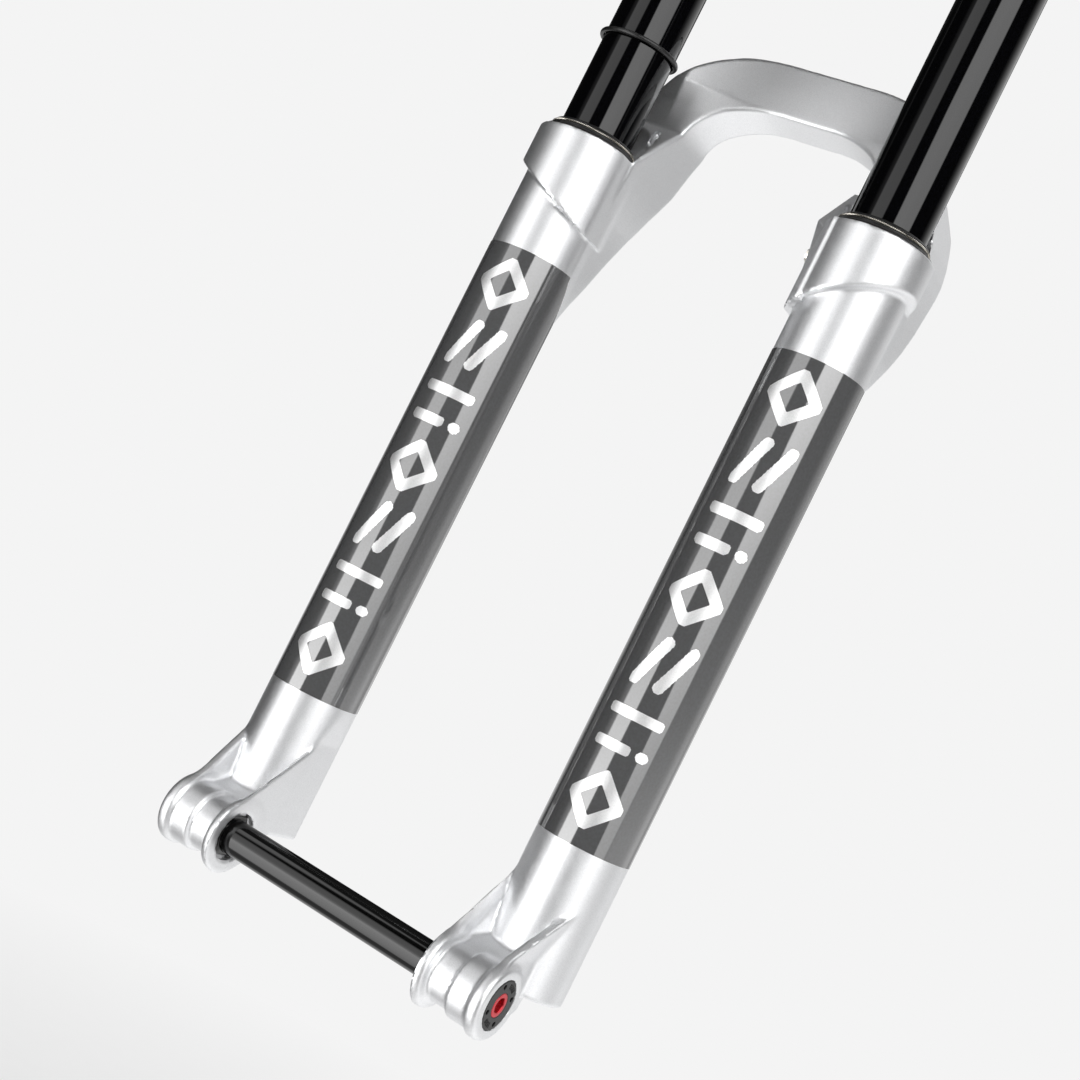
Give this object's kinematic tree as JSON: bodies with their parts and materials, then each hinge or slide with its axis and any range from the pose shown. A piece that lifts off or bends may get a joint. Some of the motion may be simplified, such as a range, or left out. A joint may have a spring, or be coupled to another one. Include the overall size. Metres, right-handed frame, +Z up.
{
  "type": "suspension fork",
  "caption": "Air-sprung single-crown bicycle fork with a rear-facing arch, bolt-in wheel axle, tapered steerer and external damping dials.",
  "frame": {"origin": "middle of the wheel axle, centred between the dropouts", "axes": "+Z up along the legs and steerer, -Y towards the front, +X towards the rider's left (brake side)"},
  "size_m": [0.1956, 0.1092, 0.7872],
  "materials": {
    "silver_paint": "satin metallic silver paint on a magnesium casting",
    "stanchion_black": "gloss black hard anodising on a polished tube",
    "black_anodised": "satin black anodising",
    "axle_black": "gloss black anodising",
    "red_anodised": "bright red anodising",
    "machined_aluminium": "fine turned finish",
    "bushing_metal": "sintered bearing surface",
    "spring_steel": "bright drawn steel",
    "bare_brass": "turned brass",
    "seal_rubber": "smooth moulded rubber",
    "foam": "open-cell foam, oiled",
    "spacer_plastic": "moulded nylon",
    "decal_grey": "gloss grey film with silver marks"
  },
  "bodies": {
    "crown_unit": {"steerer_tube": "black_anodised", "crown": "black_anodised", "stanchion_left": "stanchion_black", "stanchion_right": "stanchion_black", "air_top_cap": "black_anodised", "air_valve": "bare_brass", "valve_core": "bare_brass", "volume_spacers": "spacer_plastic", "damper_top_cap": "black_anodised", "compression_rod": "machined_aluminium", "compression_piston": "machined_aluminium", "air_seal_head": "machined_aluminium", "damper_seal_head": "machined_aluminium", "shaft_seals": "seal_rubber", "circlips": "spring_steel"},
    "valve_cap": {"air_valve_cap": "black_anodised"},
    "high_speed_dial": {"high_speed_knob": "black_anodised"},
    "low_speed_dial": {"low_speed_knob": "red_anodised"},
    "lower_legs": {"lower_casting": "silver_paint", "upper_bushings": "bushing_metal", "lower_bushings": "bushing_metal", "foam_rings": "foam", "wiper_seals": "seal_rubber", "garter_springs": "spring_steel", "decal_left": "decal_grey", "decal_right": "decal_grey", "air_shaft": "machined_aluminium", "air_piston": "machined_aluminium", "air_piston_seal": "seal_rubber", "top_out_bumpers": "seal_rubber", "damper_shaft": "machined_aluminium", "rebound_piston": "machined_aluminium", "rebound_piston_band": "spacer_plastic", "rebound_shims": "spring_steel", "piston_nut": "spring_steel", "crush_washers": "machined_aluminium", "foot_bolt": "black_anodised", "foot_nut": "machined_aluminium", "axle_insert": "black_anodised", "hose_guide": "silver_paint", "hose_guide_screw": "spring_steel"},
    "rebound_dial": {"rebound_knob": "red_anodised", "rebound_adjuster_rod": "machined_aluminium"},
    "axle": {"thru_axle": "axle_black"},
    "axle_end_bolt": {"axle_bolt": "red_anodised"},
    "o_ring": {"travel_o_ring": "seal_rubber"}
  },
  "joints": [
    {"name": "travel", "type": "slide", "parent": "crown_unit", "child": "lower_legs", "axis": [0, 0, 1], "range_m": [0, 0.15], "stiffness_N_per_m": 4200, "springref_m": -0.02},
    {"name": "o_ring_slide", "type": "slide", "parent": "crown_unit", "child": "o_ring", "axis": [0, 0, 1], "range_m": [0, 0.111]},
    {"name": "high_speed_click", "type": "hinge", "parent": "crown_unit", "child": "high_speed_dial", "pos_m": [-0.0735, 0.034, 0.56], "axis": [0, 0, 1], "range_deg": [0, 120]},
    {"name": "low_speed_click", "type": "hinge", "parent": "crown_unit", "child": "low_speed_dial", "pos_m": [-0.0735, 0.034, 0.565], "axis": [0, 0, 1], "range_deg": [0, 240]},
    {"name": "valve_cap_lift", "type": "slide", "parent": "crown_unit", "child": "valve_cap", "axis": [0, 0, 1], "range_m": [0, 0.025]},
    {"name": "rebound_click", "type": "hinge", "parent": "lower_legs", "child": "rebound_dial", "pos_m": [-0.0735, 0.034, 0.005], "axis": [0, 0, 1], "range_deg": [0, 300]},
    {"name": "axle_withdraw", "type": "slide", "parent": "lower_legs", "child": "axle", "axis": [-1, 0, 0], "range_m": [0, 0.175]},
    {"name": "axle_bolt_turn", "type": "hinge", "parent": "lower_legs", "child": "axle_end_bolt", "pos_m": [0.084, 0, 0], "axis": [1, 0, 0], "continuous": true}
  ],
  "couplings": [
    {"joint": "o_ring_slide", "follows": "travel", "ratio": 0.74}
  ]
}
